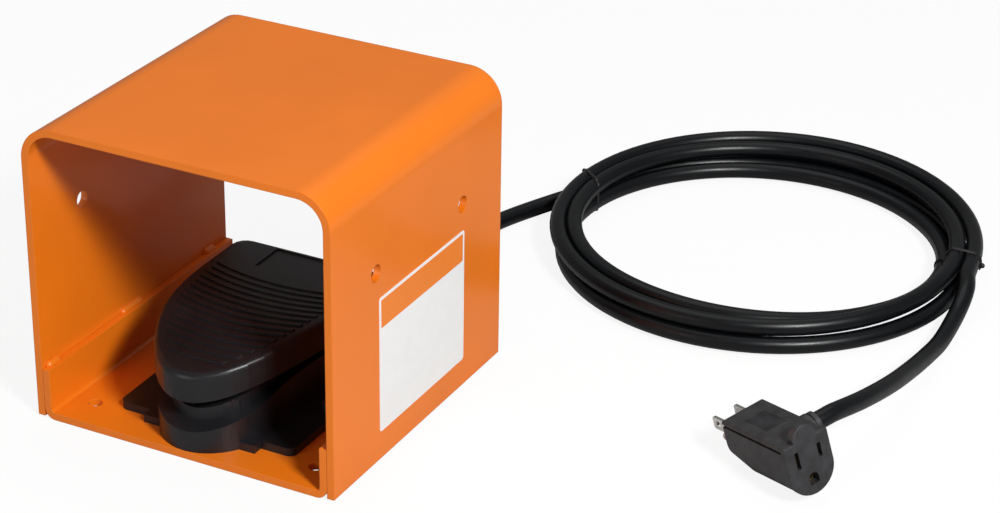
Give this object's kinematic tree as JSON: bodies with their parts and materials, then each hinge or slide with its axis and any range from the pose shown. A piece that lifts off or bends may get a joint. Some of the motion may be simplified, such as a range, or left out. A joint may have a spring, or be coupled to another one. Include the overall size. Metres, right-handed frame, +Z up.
{
  "type": "guarded foot switch",
  "caption": "Treadle foot switch under an open-ended bent plate guard, with a coiled mains cord and a pass-through plug.",
  "frame": {"origin": "under the middle of the guard at the underside of the floor pan, which rests on the floor", "axes": "+X across the guard to the right seen from the open front, +Y from the front opening to the rear where the cord leaves, +Z up"},
  "size_m": [0.3658, 0.4493, 0.154],
  "materials": {
    "guard_paint": "glossy orange powder coat",
    "black_moulding": "satin black, lightly grained",
    "zinc": "zinc plated",
    "spring_steel": "bright spring steel",
    "switch_case": "dark grey phenolic",
    "brass": "plain",
    "plunger": "red",
    "lead_cover": "red and white insulation",
    "cord_jacket": "satin black",
    "tie_plastic": "satin black",
    "plug_moulding": "dark grey moulded",
    "nickel": "nickel plated"
  },
  "bodies": {
    "guard": {"guard_hood": "guard_paint", "floor_pan": "guard_paint", "weld_beads": "guard_paint", "switch_base": "black_moulding", "base_cover": "black_moulding", "cover_screws": "zinc", "mounting_screws": "zinc", "hinge_pin": "zinc", "pin_clips": "zinc", "snap_switch": "switch_case", "switch_terminals": "brass", "switch_bracket": "zinc", "bracket_screws": "zinc", "switch_screws": "zinc", "internal_leads": "lead_cover", "cord_clamp": "zinc", "clamp_screws": "zinc", "cord_stub": "cord_jacket", "cord_gland": "cord_jacket", "cord_lead": "cord_jacket", "cord_coil": "cord_jacket", "cord_tail": "cord_jacket", "coil_tie_left": "tie_plastic", "coil_tie_right": "tie_plastic", "plug_body": "plug_moulding", "plug_blades": "nickel", "plug_ground_pin": "nickel", "plug_contacts": "brass"},
    "treadle": {"pedal": "black_moulding", "return_spring": "spring_steel"},
    "lever": {"switch_lever": "spring_steel"},
    "plunger": {"switch_plunger": "plunger"}
  },
  "joints": [
    {"name": "pedal_hinge", "type": "hinge", "parent": "guard", "child": "treadle", "pos_m": [0, 0.02875, 0.038], "axis": [1, 0, 0], "range_deg": [0, 6], "stiffness_Nm_per_rad": 1.2, "springref_deg": -20.05, "deforming": ["return_spring"]},
    {"name": "lever_hinge", "type": "hinge", "parent": "guard", "child": "lever", "pos_m": [0, -0.00581, 0.0293], "axis": [1, 0, 0], "range_deg": [0, 17.2]},
    {"name": "plunger_slide", "type": "slide", "parent": "guard", "child": "plunger", "axis": [0, 0, -1], "range_m": [0, 0.00225]}
  ],
  "couplings": [
    {"joint": "lever_hinge", "follows": "pedal_hinge", "ratio": 2.8333},
    {"joint": "plunger_slide", "follows": "pedal_hinge", "m_per_rad": 0.021}
  ]
}
